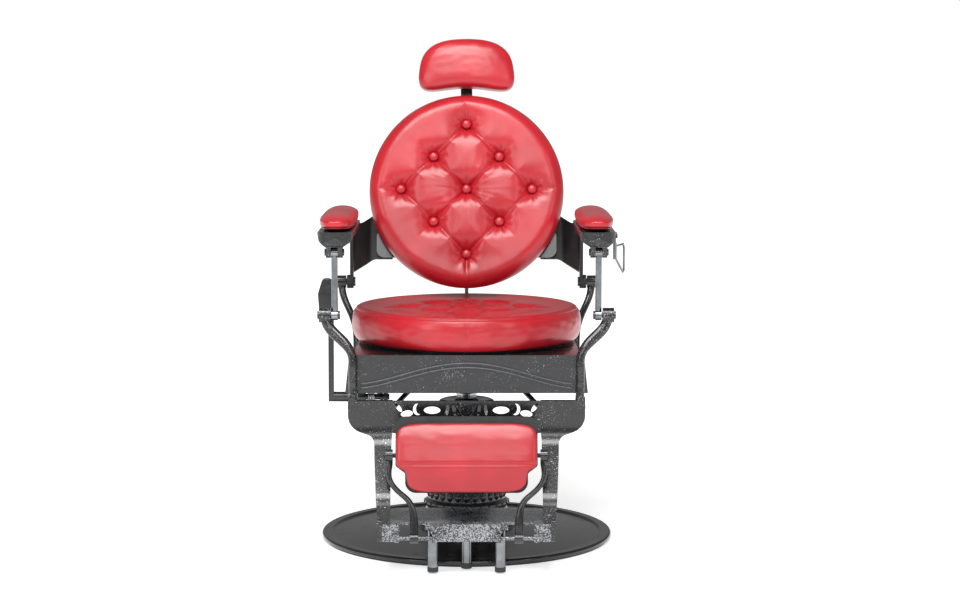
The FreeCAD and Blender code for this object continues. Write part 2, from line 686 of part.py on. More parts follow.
def make_arm_rod_left():
    bar = rod(FRONT_PIVOT, front_top(), ROD_R)
    whole = fuse(bar, rod_x((296, 310), FRONT_PIVOT, 12), rod_x((295.2, 310.8), front_top(), 11))
    bored = whole.cut(rod_x((290, 320), FRONT_PIVOT, 6 + FIT))
    return bored.cut(rod_x((290, 320), front_top(), 5 + FIT))


def make_towel_ring():
    """Wire loop that swings like a gate on an upright pin."""
    wire_r = 2.6
    reach = V(math.sin(math.radians(20)), math.cos(math.radians(20)), 0)
    corners = [V(0, 0, 718), reach * 70 + V(0, 0, 718), reach * 76 + V(0, 0, 710), reach * 76 + V(0, 0, 656)]
    corners += [reach * 68 + V(0, 0, 652), V(0, 0, 694)]
    corners = [corner + V(RING_PIN.x, RING_PIN.y, 0) for corner in corners]
    pieces = [rod_z((688, 750), RING_PIN.x, RING_PIN.y, 3), rod_z((748.3, 752), RING_PIN.x, RING_PIN.y, 5)]
    pieces.append(rod_z((688, 726), RING_PIN.x, RING_PIN.y, 4.6))
    for start, end in zip(corners, corners[1:]):
        pieces.append(rod(start, end, wire_r))
        pieces.append(Part.makeSphere(wire_r, end))
    return fuse(*pieces)


# ---------------------------------------------------------------- lever and pump linkage

def crank_pin(axis):
    return axis + V(0, CRANK, 0)


def make_lever_bar():
    """Hand lever on the -X side: upright bar, shaft and crank in one weldment."""
    top = LEVER_AXIS + V(0, 0, 225)
    bar = link_plate((-329, -316), LEVER_AXIS, top, 12, 6)
    sleeve = rod_x((-329, -264), LEVER_AXIS, 12)
    shaft = rod_x((-266, -184), LEVER_AXIS, 7)
    crank = link_plate((-206, -200), LEVER_AXIS, crank_pin(LEVER_AXIS), 10, 8)
    return fuse(bar, sleeve, shaft, crank, rod_x((-215, -203), crank_pin(LEVER_AXIS), 4))


def make_lever_grip():
    face = [(-348, 532, 12), (-353, 598, 30), (-342, 634, 9)]
    face += [(-322, 634, 9), (-311, 598, 30), (-314, 532, 10)]
    side = [(-70, 531, 7), (-73, 596, 30), (-68, 635, 5), (-52, 635, 5), (-47, 596, 30), (-50, 531, 7)]
    grip = plate(face, in_xz, (-80, -40)).common(plate(side, in_yz, (-360, -300)))
    return grip.cut(make_lever_bar())


def make_pump_link():
    start = crank_pin(LEVER_AXIS)
    end = crank_pin(CROSS_AXIS)
    link = link_plate((-213, -207), start, end, 8, 8)
    return link.cut(rod_x((-220, -200), start, 4 + FIT)).cut(rod_x((-220, -200), end, 4 + FIT))


def make_pump_cross_shaft():
    """Turns with the lever and presses the pump rod down with its finger."""
    shaft = rod_x((-206, 36), CROSS_AXIS, 6)
    crank = link_plate((-206, -200), CROSS_AXIS, crank_pin(CROSS_AXIS), 10, 8)
    finger = box((-7, 7), (-8, CROSS_AXIS.y), (CROSS_AXIS.z - 5, CROSS_AXIS.z + 5))
    pin = rod_x((-215, -203), crank_pin(CROSS_AXIS), 4)
    return fuse(shaft, crank, finger, rod_x((-9, 9), CROSS_AXIS, 10), pin)


# ---------------------------------------------------------------- calf rest

def calf_place(shape):
    """Move a piece from the calf rest's upright frame to its place."""
    moved = shape.copy()
    moved.rotate(V(0, 0, 0), V(1, 0, 0), -CALF_LEAN)
    moved.translate(CALF_PIVOT)
    return moved


def make_calf_arms():
    arm = curved_bar([
        (174, -392, 258, 7, 6), (174, -397, 234, 6, 6), (172.5, -402, 214, 6, 6), (163, -406, 198, 6, 6),
        (147, -411, 183, 6, 6), (131, -416, 169, 6.5, 6), (121.5, -421, 151, 7.5, 6.5),
        (118, -427, 125, 9, 7), (117.5, -432, 95, 9.5, 7.5)])
    whole = fuse(arm, rod_x((166, 182), CALF_PIVOT, 14), rod_x((108, 127), CALF_PIN, 11))
    bored = whole.cut(rod_x((160, 190), CALF_PIVOT, 5 + FIT)).cut(rod_x((100, 135), CALF_PIN, 4.5 + FIT))
    return Part.makeCompound([bored, mirror(bored)])


def make_calf_board():
    half = [(160, 88, 24), (160, -24, 8), (138, -40, 8), (138, -84, 24)]
    corners = half + [(-c[0],) + c[1:] for c in reversed(half)]
    board = plate(corners, in_xz, (-4, 4))
    trunnions = [rod(V(side * 150, 0, 0), V(side * 186, 0, 0), 5) for side in (-1, 1)]
    return calf_place(fuse(board, *trunnions))


def make_calf_pad():
    half = [(158, 71, 22), (158, -24, 8), (136, -40, 8), (136, -83, 24)]
    corners = half + [(-c[0],) + c[1:] for c in reversed(half)]
    side = [(-5.2, 71), (-24, 71, 14), (-46, -22, 16), (-26, -83, 12), (-5.2, -83)]
    return calf_place(plate(corners, in_xz, (-60, 0)).common(plate(side, in_yz, (-170, 170))))


# ---------------------------------------------------------------- recline strut

def strut_point(distance):
    """A point on the strut's line, measured up from its lower end."""
    return STRUT_LOW + (STRUT_HIGH - STRUT_LOW).normalize() * distance


def make_strut_tube():
    """Hangs from the back's ears; the rod slides through the bush at its lower end."""
    length = (STRUT_HIGH - STRUT_LOW).Length
    wall = rod(strut_point(length - 162), strut_point(length - 28), 12)
    bored = wall.cut(rod(strut_point(length - 152), strut_point(length - 32), 9))
    bushed = bored.cut(rod(strut_point(length - 163), strut_point(length - 151), 5.3))
    shank = rod(strut_point(length - 30), strut_point(length), 7.5)
    return fuse(bushed, shank, rod_x((-8, 8), STRUT_HIGH, 11), rod_x((-15, 15), STRUT_HIGH, 5 - FIT))


def make_strut_rod():
    """Stands on the seat box's ears, its piston inside the tube."""
    stem = rod(strut_point(0), strut_point(168), 5)
    piston = rod(strut_point(160), strut_point(168), 8.7)
    return fuse(stem, piston, rod_x((-8, 8), STRUT_LOW, 12), rod_x((-15, 15), STRUT_LOW, 5 - FIT))


# ---------------------------------------------------------------- all nodes

RECLINE = V(0, REAR_PIVOT.y, REAR_PIVOT.z)
STRUT_HIGH = RECLINE + FreeCAD.Rotation(V(1, 0, 0), STRUT_SPREAD).multVec(STRUT_LOW - RECLINE)
RING_PIN = V(346, -150, 0)

NODES = {
    "base_plate": make_base_plate(),
    "floor_ring": make_floor_ring(),
    "pump_housing": make_pump_housing(),
    "pump_cylinder": make_pump_cylinder(),
    "column_cap": make_column_cap(),
    "housing_bolts": make_housing_bolts(),
    "ram": make_ram(),
    "ram_piston": make_ram_piston(),
    "thrust_bearing": make_thrust_bearing(),
    "pump_rod": make_pump_rod(),
    "swivel_hub": make_swivel_hub(),
    "seat_deck": make_seat_deck(),
    "seat_board": make_seat_board(),
    "seat_cushion": make_seat_cushion(),
    "apron_front": make_apron_front(),
    "apron_left": make_apron_left(),
    "apron_right": mirror(make_apron_left()),
    "apron_rear": make_apron_rear(),
    "side_frame_left": make_side_frame_left(),
    "side_frame_right": mirror(make_side_frame_left()),
    "lattice_plate": make_lattice_plate(),
    "footrest_tread": make_footrest_tread(),
    "foot_posts": make_foot_posts(),
    "foot_tips": make_foot_tips(),
    "seat_braces": make_seat_braces(),
    "rear_arm_left": make_rear_arm_left(),
    "rear_arm_right": mirror(make_rear_arm_left()),
    "arm_pivot_pins": make_arm_pivot_pins(),
    "frame_bolts": make_frame_bolts(),
    "lever_bearing": make_lever_bearing(),
    "lever_spring": make_lever_spring(),
    "back_bracket_left": make_back_bracket_left(),
    "back_bracket_right": mirror(make_back_bracket_left()),
    "back_frame": make_back_frame(),
    "back_board": make_back_board(),
    "back_cushion": make_back_cushion(),
    "back_buttons": make_back_buttons(),
    "headrest_socket": make_headrest_socket(),
    "headrest_bar": make_headrest_bar(),
    "headrest_bracket": make_headrest_bracket(),
    "headrest_pad": make_headrest_pad(),
    "headrest_knob": make_headrest_knob(),
    "armrest_body_left": make_armrest_body_left(),
    "armrest_body_right": mirror(make_armrest_body_plain()),
    "armrest_pad_left": make_armrest_pad_left(),
    "armrest_pad_right": mirror(make_armrest_pad_left()),
    "armrest_pins_left": make_armrest_pins_left(),
    "armrest_pins_right": mirror(make_armrest_pins_left()),
    "arm_rod_left": make_arm_rod_left(),
    "arm_rod_right": mirror(make_arm_rod_left()),
    "towel_ring": make_towel_ring(),
    "lever_bar": make_lever_bar(),
    "lever_grip": make_lever_grip(),
    "pump_link": make_pump_link(),
    "pump_cross_shaft": make_pump_cross_shaft(),
    "calf_arms": make_calf_arms(),
    "calf_board": make_calf_board(),
    "calf_pad": make_calf_pad(),
    "strut_tube": make_strut_tube(),
    "strut_rod": make_strut_rod(),
}

os.makedirs("parts", exist_ok=True)
for name, shape in NODES.items():
    shape.exportStep("parts/" + name + ".step")
    verdict = "ok" if shape.isValid() else "INVALID"
    print(name, len(shape.Solids), "solids", round(shape.Volume / 1000, 1), "cm3", verdict)
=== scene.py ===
"""Looks of a hydraulic barber chair: red tufted leather, veined black enamel, chrome and rubber."""

from __future__ import annotations

import json
import logging
import math
from collections.abc import Callable, Sequence
from dataclasses import dataclass, field
from enum import Enum

import bmesh
import bpy
from mathutils import Matrix, Vector, noise


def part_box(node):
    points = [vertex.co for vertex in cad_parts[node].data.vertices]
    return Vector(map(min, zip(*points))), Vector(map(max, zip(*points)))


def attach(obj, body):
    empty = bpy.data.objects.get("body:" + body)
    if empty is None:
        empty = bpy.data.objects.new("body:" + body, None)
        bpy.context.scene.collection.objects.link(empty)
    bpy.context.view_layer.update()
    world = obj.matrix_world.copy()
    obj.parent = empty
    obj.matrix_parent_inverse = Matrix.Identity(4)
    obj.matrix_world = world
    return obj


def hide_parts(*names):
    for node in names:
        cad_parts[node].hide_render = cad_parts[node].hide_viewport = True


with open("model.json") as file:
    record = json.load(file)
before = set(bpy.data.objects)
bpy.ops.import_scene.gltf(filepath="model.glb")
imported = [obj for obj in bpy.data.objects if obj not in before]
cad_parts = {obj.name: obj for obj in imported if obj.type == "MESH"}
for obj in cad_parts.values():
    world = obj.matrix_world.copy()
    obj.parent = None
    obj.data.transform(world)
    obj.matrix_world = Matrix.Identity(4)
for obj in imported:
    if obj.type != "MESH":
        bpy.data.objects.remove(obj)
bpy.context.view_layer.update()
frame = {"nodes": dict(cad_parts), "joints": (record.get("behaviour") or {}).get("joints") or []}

LOG = logging.getLogger("barber_chair")


# ---------------------------------------------------------------- shader expressions


class Signal:
    """A shader socket that takes part in Python arithmetic."""

    def __init__(self, graph: Graph, socket: bpy.types.NodeSocket) -> None:
        """Keep the socket and the graph that it belongs to."""
        self.graph = graph
        self.socket = socket

    def _math(self, operation: str, *values: float | Signal) -> Signal:
        """Add a Math node and return its value."""
        return self.graph.node("ShaderNodeMath", {"operation": operation}, list(values))

    def __add__(self, other: float | Signal) -> Signal:
        """Sum."""
        return self._math("ADD", self, other)

    def __sub__(self, other: float | Signal) -> Signal:
        """Difference."""
        return self._math("SUBTRACT", self, other)

    def __rsub__(self, other: float) -> Signal:
        """Difference from a number."""
        return self._math("SUBTRACT", other, self)

    def __mul__(self, other: float | Signal) -> Signal:
        """Product."""
        return self._math("MULTIPLY", self, other)

    __radd__ = __add__
    __rmul__ = __mul__

    def between(self, low: float, high: float) -> Signal:
        """0 below low, 1 above high and smooth in the middle."""
        settings = {"interpolation_type": "SMOOTHSTEP"}
        limits = {"Value": self, "From Min": low, "From Max": high}
        return self.graph.node("ShaderNodeMapRange", settings, limits)


class Graph:
    """The node tree of one material with a Principled shader at its end."""

    def __init__(self, name: str) -> None:
        """Make the material.

        Args:
            name: The material's name.
        """
        self.material = bpy.data.materials.new(name)
        self.material.use_nodes = True
        self.tree = self.material.node_tree
        self.shader = self.tree.nodes["Principled BSDF"]
        coordinates = self.tree.nodes.new("ShaderNodeTexCoord")
        self.place = Signal(self, coordinates.outputs["Object"])

    def node(
        self, kind: str, settings: dict, inputs: dict | list, output: str | int = 0
    ) -> Signal:
        """Add a node.

        Args:
            kind: The node's type.
            settings: Attributes set before its inputs.
            inputs: Values or signals by socket name, or in socket order.
            output: The output to return.

        Returns:
            The chosen output.
        """
        node = self.tree.nodes.new(kind)
        for key, value in settings.items():
            setattr(node, key, value)
        pairs = inputs.items() if isinstance(inputs, dict) else enumerate(inputs)
        for key, value in pairs:
            self.feed(node.inputs[key], value)
        return Signal(self, node.outputs[output])

    def feed(self, socket: bpy.types.NodeSocket, value: object) -> None:
        """Set or link one input socket."""
        if isinstance(value, Signal):
            self.tree.links.new(value.socket, socket)
        else:
            socket.default_value = value

    def cells(self, scale: float, feature: str = "F1", output: str = "Distance") -> Signal:
        """Voronoi cells on object coordinates."""
        inputs = {"Vector": self.place, "Scale": scale}
        return self.node("ShaderNodeTexVoronoi", {"feature": feature}, inputs, output)

    def cloud(self, scale: float, detail: float = 3.0, roughness: float = 0.55) -> Signal:
        """Noise on object coordinates."""
        inputs = {"Vector": self.place, "Scale": scale, "Detail": detail, "Roughness": roughness}
        return self.node("ShaderNodeTexNoise", {}, inputs)

    def blend(self, factor: Signal, low: Sequence[float], high: Sequence[float]) -> Signal:
        """A colour between two, by a factor."""
        node = self.tree.nodes.new("ShaderNodeMix")
        node.data_type = "RGBA"
        self.feed(node.inputs[0], factor)
        self.feed(node.inputs[6], (*low, 1.0))
        self.feed(node.inputs[7], (*high, 1.0))
        return Signal(self, node.outputs[2])

    def bump(self, height: Signal, strength: float, distance: float) -> Signal:
        """A bumped normal from a height."""
        inputs = {"Height": height, "Strength": strength, "Distance": distance}
        return self.node("ShaderNodeBump", {}, inputs)

    def finish(self, **sockets: object) -> bpy.types.Material:
        """Set the shader's inputs, words joined by underscores, and return the material."""
        for key, value in sockets.items():
            name = " ".join(word.upper() if word == "ior" else word.capitalize() for word in key.split("_"))
            self.feed(self.shader.inputs[name], value)
        return self.material


# ---------------------------------------------------------------- finishes


@dataclass(frozen=True)
class Leather:
    """Glossy coated upholstery leather with a fine pebble grain."""

    name: str = "red_leather"
    light: tuple[float, float, float] = (0.43, 0.009, 0.018)
    deep: tuple[float, float, float] = (0.35, 0.006, 0.012)
    grain: float = 620.0

    def build(self) -> bpy.types.Material:
        """Return the material."""
        graph = Graph(self.name)
        mottle = graph.cloud(9.0, 4.0)
        tone = mottle.between(0.32, 0.70)
        pebble = graph.cells(self.grain)
        crinkle = graph.cloud(150.0, 5.0, 0.65)
        height = pebble * 0.55 + crinkle * 0.45
        return graph.finish(
            base_color=graph.blend(tone, self.deep, self.light),
            roughness=graph.cloud(40.0) * 0.12 + 0.27,
            normal=graph.bump(height, 0.16, 0.0006),
            coat_weight=0.42,
            coat_roughness=0.30,
            ior=1.42,
        )


@dataclass(frozen=True)
class VeinedEnamel:
    """Black hammertone enamel shot with silver flecks."""

    name: str = "veined_enamel"
    ground: tuple[float, float, float] = (0.012, 0.013, 0.015)
    silver: tuple[float, float, float] = (0.42, 0.43, 0.45)
    fleck: float = 330.0
    cover: float = 0.60
    shine: float = 0.55

    def build(self) -> bpy.types.Material:
        """Return the material."""
        graph = Graph(self.name)
        coarse = graph.cloud(self.fleck, 2.0, 0.7)
        drift = graph.cloud(22.0, 2.0)
        vein = (coarse + drift * 0.25).between(self.cover + 0.08, self.cover + 0.20)
        height = coarse * 0.7 + graph.cells(self.fleck * 0.8) * 0.3
        return graph.finish(
            base_color=graph.blend(vein, self.ground, self.silver),
            metallic=vein * self.shine,
            roughness=vein * 0.10 + 0.26,
            normal=graph.bump(height, 0.30, 0.0008),
            coat_weight=0.25,
            coat_roughness=0.15,
        )


@dataclass(frozen=True)
class GlossEnamel:
    """Smooth black stove enamel with slight orange peel and rubbed edges."""

    name: str = "gloss_enamel"
    ground: tuple[float, float, float] = (0.010, 0.010, 0.011)
    worn: tuple[float, float, float] = (0.035, 0.035, 0.038)
    sheen: float = 0.22

    def build(self) -> bpy.types.Material:
        """Return the material."""
        graph = Graph(self.name)
        rub = graph.cloud(30.0, 6.0, 0.6).between(0.52, 0.75)
        return graph.finish(
            base_color=graph.blend(rub, self.ground, self.worn),
            roughness=rub * 0.12 + self.sheen,
            normal=graph.bump(graph.cloud(320.0, 2.0), 0.06, 0.0004),
            coat_weight=0.35,
            coat_roughness=0.08,
        )


@dataclass(frozen=True)
class Metal:
    """Bare or plated metal with faint smears."""

    name: str
    light: tuple[float, float, float]
    dark: tuple[float, float, float]
    polish: float
    drawn: float = 0.0

    def build(self) -> bpy.types.Material:
        """Return the material; drawn above 0 adds fine marks along Z."""
        graph = Graph(self.name)
        smear = graph.cloud(26.0, 5.0, 0.6)
        stretch = graph.node(
            "ShaderNodeMapping", {}, {"Vector": graph.place, "Scale": (900.0, 900.0, 12.0)}
        )
        marks = graph.node("ShaderNodeTexNoise", {}, {"Vector": stretch, "Scale": 1.0, "Detail": 2.0})
        return graph.finish(
            base_color=graph.blend(smear.between(0.35, 0.70), self.dark, self.light),
            metallic=1.0,
            roughness=smear * 0.08 + marks * (self.drawn * 0.3) + self.polish,
            normal=graph.bump(marks, 0.02 + 0.2 * self.drawn, 0.0002),
        )


@dataclass(frozen=True)
class Matt:
    """A dull surface with a fine texture, such as rubber or moulded plastic."""

    name: str
    ground: tuple[float, float, float]
    scuffed: tuple[float, float, float]
    roughness: float
    texture: float = 700.0

    def build(self) -> bpy.types.Material:
        """Return the material."""
        graph = Graph(self.name)
        scuff = graph.cloud(45.0, 5.0, 0.6).between(0.50, 0.80)
        return graph.finish(
            base_color=graph.blend(scuff, self.ground, self.scuffed),
            roughness=scuff * 0.12 + self.roughness,
            normal=graph.bump(graph.cells(self.texture), 0.15, 0.0003),
        )


@dataclass(frozen=True)
class Plywood:
    """Birch plywood with long grain along X."""

    name: str = "plywood"
    light: tuple[float, float, float] = (0.52, 0.36, 0.20)
    dark: tuple[float, float, float] = (0.36, 0.22, 0.11)

    def build(self) -> bpy.types.Material:
        """Return the material."""
        graph = Graph(self.name)
        stretch = graph.node(
            "ShaderNodeMapping", {}, {"Vector": graph.place, "Scale": (6.0, 90.0, 90.0)}
        )
        grain = graph.node("ShaderNodeTexNoise", {}, {"Vector": stretch, "Scale": 1.5, "Detail": 6.0})
        return graph.finish(
            base_color=graph.blend(grain.between(0.3, 0.7), self.dark, self.light),
            roughness=grain * 0.2 + 0.5,
            normal=graph.bump(grain, 0.25, 0.0005),
        )


class Finish(Enum):
    """The chair's finishes, each with the record's material slot that it stands for."""

    LEATHER = ("red_leather", Leather())
    SEAM = ("red_leather", Leather("seam_leather", (0.30, 0.010, 0.018), (0.20, 0.006, 0.011), 900.0))
    VEINED = ("black_casting", VeinedEnamel(ground=(0.007, 0.007, 0.008), cover=0.66))
    PANEL = ("black_casting", VeinedEnamel("panel_enamel", cover=0.70, ground=(0.010, 0.010, 0.012)))
    SPECKLED = (
        "black_casting",
        VeinedEnamel("speckled_enamel", (0.012, 0.012, 0.014), (0.34, 0.35, 0.37), 420.0, 0.52, 0.30),
    )
    SATIN = ("black_casting", Matt("satin_black", (0.006, 0.006, 0.007), (0.014, 0.014, 0.015), 0.52))
    # LINE: lighter grey, partly worn silver and partly a painted highlight on the apron's embossed ribs
    LINE = ("black_casting", Matt("painted_highlight_line", (0.075, 0.077, 0.082), (0.14, 0.142, 0.15), 0.35, 500.0))
    BOARD = ("black_board", Matt("board_black", (0.012, 0.012, 0.013), (0.03, 0.03, 0.032), 0.5))
    GLOSS = ("gloss_black", GlossEnamel())
    BASE = ("black_casting", GlossEnamel("base_enamel", (0.004, 0.004, 0.005), (0.011, 0.011, 0.012), 0.22))
    # CHROME: colour kept far below real chrome, a painted darker reflection standing in for the dim
    # surroundings that the plated parts reflect
    CHROME = ("chrome", Metal("chrome", (0.26, 0.27, 0.28), (0.16, 0.17, 0.18), 0.10))
    STEEL = ("steel", Metal("steel", (0.56, 0.57, 0.60), (0.40, 0.41, 0.44), 0.22, 0.5))
    BRONZE = ("bronze", Metal("bronze", (0.60, 0.42, 0.19), (0.42, 0.28, 0.11), 0.25, 0.3))
    RUBBER = ("rubber", Matt("rubber", (0.018, 0.018, 0.018), (0.045, 0.045, 0.045), 0.62))
    PLASTIC = ("black_plastic", Matt("plastic", (0.014, 0.014, 0.016), (0.032, 0.032, 0.034), 0.34, 420.0))
    PLYWOOD = ("plywood", Plywood())

    @property
    def slot(self) -> str:
        """The record's material slot."""
        return self.value[0]


class Paintbox:
    """Makes each finish's material once and hands it out."""

    def __init__(self) -> None:
        """Start empty."""
        self.made: dict[Finish, bpy.types.Material] = {}

    def get(self, finish: Finish) -> bpy.types.Material:
        """Return the finish's material."""
        if finish not in self.made:
            self.made[finish] = finish.value[1].build()
        return self.made[finish]

    def coat(self, node: str, finish: Finish) -> None:
        """Put a finish on a node of the frame."""
        for slot in frame["nodes"][node].material_slots:
            slot.material = self.get(finish)


PAINT = Paintbox()


# ---------------------------------------------------------------- mesh helpers


def box_of(node: str) -> tuple[Vector, Vector]:
    """The lowest and highest corners of a node, in metres."""
    low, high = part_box(node)
    return Vector(low), Vector(high)


def centre_of(node: str) -> Vector:
    """The middle of a node's box."""
    low, high = box_of(node)
    return (low + high) / 2


def joint_named(name: str) -> dict:
    """A joint of the frame."""
    return next(joint for joint in frame["joints"] if joint["name"] == name)


def make_piece(
    shape: bmesh.types.BMesh, name: str, body: str, finish: Finish, place: Matrix | None = None
) -> bpy.types.Object:
    """Turn a finished shape into a smooth-shaded piece that rides on a body.

    Args:
        shape: The mesh, which is freed.
        name: The piece's name.
        body: The body that it moves with.
        finish: Its finish.
        place: Where it goes, if the shape isn't in place already.

    Returns:
        The new object.
    """
    if place is not None:
        bmesh.ops.transform(shape, matrix=place, verts=shape.verts[:])
    bmesh.ops.remove_doubles(shape, verts=shape.verts[:], dist=1e-6)
    bmesh.ops.recalc_face_normals(shape, faces=shape.faces[:])
    for face in shape.faces:
        face.smooth = True
    mesh = bpy.data.meshes.new(name)
    shape.to_mesh(mesh)
    shape.free()
    mesh.materials.append(PAINT.get(finish))
    piece = bpy.data.objects.new(name, mesh)
    bpy.context.scene.collection.objects.link(piece)
    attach(piece, body)
    LOG.info("%s: %d faces on %s", name, len(mesh.polygons), body)
    return piece


def soft_block(cuts: int, power: float) -> bmesh.types.BMesh:
    """A block from -1 to 1 each way, its corners softened by a power."""
    shape = bmesh.new()
    bmesh.ops.create_cube(shape, size=2.0)
    bmesh.ops.subdivide_edges(shape, edges=shape.edges[:], cuts=cuts, use_grid_fill=True)
    for vertex in shape.verts:
        spread = sum(abs(value) ** power for value in vertex.co) ** (1 / power)
        vertex.co /= spread
    return shape


def turned(profile: Sequence[tuple[float, float]], steps: int) -> bmesh.types.BMesh:
    """A closed shape turned about Z from a profile of (radius, height).

    Args:
        profile: Points from the lower pole to the upper one.
        steps: How many steps the turn has.

    Returns:
        The shape.
    """
    shape = bmesh.new()
    verts = [shape.verts.new((radius, 0.0, height)) for radius, height in profile]
    edges = [shape.edges.new(pair) for pair in zip(verts, verts[1:])]
    bmesh.ops.spin(
        shape, geom=verts + edges, axis=(0, 0, 1), cent=(0, 0, 0), angle=math.tau, steps=steps, use_merge=True
    )
    bmesh.ops.remove_doubles(shape, verts=shape.verts[:], dist=1e-6)
    return shape


def ring(
    path: Callable[[float], Vector], radius: float, steps: int = 160, sides: int = 10
) -> bmesh.types.BMesh:
    """A closed round cord along a looped path.

    Args:
        path: Gives a point for each part of the way round, from 0 to 1.
        radius: The cord's radius.
        steps: Rings along the path.
        sides: Sides of each ring.

    Returns:
        The shape.
    """
    shape = bmesh.new()
    loops = []
    for step in range(steps):
        here = path(step / steps)
        along = (path((step + 0.5) / steps) - path((step - 0.5) / steps)).normalized()
        turn = along.to_track_quat("Z", "Y").to_matrix().to_4x4()
        made = bmesh.ops.create_circle(
            shape, segments=sides, radius=radius, matrix=Matrix.Translation(here) @ turn
        )
        loops.append(made["verts"])
    for step in range(steps):
        edges = set()
        for loop in (loops[step], loops[(step + 1) % steps]):
            members = set(loop)
            edges.update(e for v in loop for e in v.link_edges if e.other_vert(v) in members)
        bmesh.ops.bridge_loops(shape, edges=list(edges))
    return shape


# ---------------------------------------------------------------- tufting


@dataclass(frozen=True)
class Tufting:
    """Nine buttons in a square net stood on its corner, with creases between them."""

    pitch: float
    dimple: float = 0.019
    dimple_reach: float = 0.027
    crease: float = 0.0088
    crease_reach: float = 0.0050
    tail: float = 0.058

    def buttons(self) -> list[tuple[float, float]]:
        """The buttons' places."""
        steps = (-1, 0, 1)
        return [(self.pitch * (a + b), self.pitch * (a - b)) for a in steps for b in steps]

    def relief(self, x: float, y: float) -> float:
        """How far the cover is pulled in at a point.

        Args:
            x: Distance across from the middle button.
            y: Distance up from it.

        Returns:
            The depth, in metres.
        """
        net = self.pitch * math.sqrt(2)
        u = (x + y) / math.sqrt(2)
        v = (x - y) / math.sqrt(2)
        away, turn = min(
            (math.hypot(x - bx, y - by), math.atan2(y - by, x - bx)) for bx, by in self.buttons()
        )
        pull = math.exp(-((away / self.dimple_reach) ** 1.4))
        gather = 0.07 * math.cos(8 * turn + 3 * x / net) * math.exp(-((away - 0.02) / 0.014) ** 2)
        depth = self.dimple * (pull + gather)
        depth += self._fold(u, v, net) + self._fold(v, u, net)
        return depth + self._tails(x, y, net)

    def _fold(self, across: float, along: float, net: float) -> float:
        """Depth of the creases that run along one way of the net."""
        depth = 0.0
        for line in (-1, 0, 1):
            reach = net + (self.tail if line == 0 else 0.0)
            past = max(0.0, abs(along) - reach)
            near = abs(math.cos(math.pi * along / net)) ** 0.8
            firm = (0.50 + 0.50 * near) * math.exp(-((past / 0.012) ** 2))
            if abs(along) > net:
                firm *= max(0.0, 1 - (abs(along) - net) / self.tail) if line == 0 else 0.4
            width = self.crease_reach * (1 + 0.6 * near)
            depth += self.crease * firm * math.exp(-abs(across - line * net) / width)
        return depth

    def _tails(self, x: float, y: float, net: float) -> float:
        """Depth of the short creases from the outer buttons to the rim."""
        corner = net * math.sqrt(2)
        depth = 0.0
        for reach, off in ((abs(x), y), (abs(y), x)):
            if reach > corner:
                fade = math.exp(-(((reach - corner - 0.028) / 0.026) ** 2))
                depth += 0.55 * self.crease * fade * math.exp(-abs(off) / 0.0045)
        return depth


def covered_button(radius: float, height: float) -> bmesh.types.BMesh:
    """A leather-covered button that stands on the XY plane, domed towards +Z."""
    shape = bmesh.new()
    bmesh.ops.create_uvsphere(shape, u_segments=32, v_segments=20, radius=radius)
    for vertex in shape.verts:
        vertex.co.z *= height / radius if vertex.co.z > 0 else 0.35
        flare = 1.0 - 0.10 * math.exp(-((vertex.co.z / (0.22 * height)) ** 2))
        vertex.co.x *= flare
        vertex.co.y *= flare
    return shape


# ---------------------------------------------------------------- back


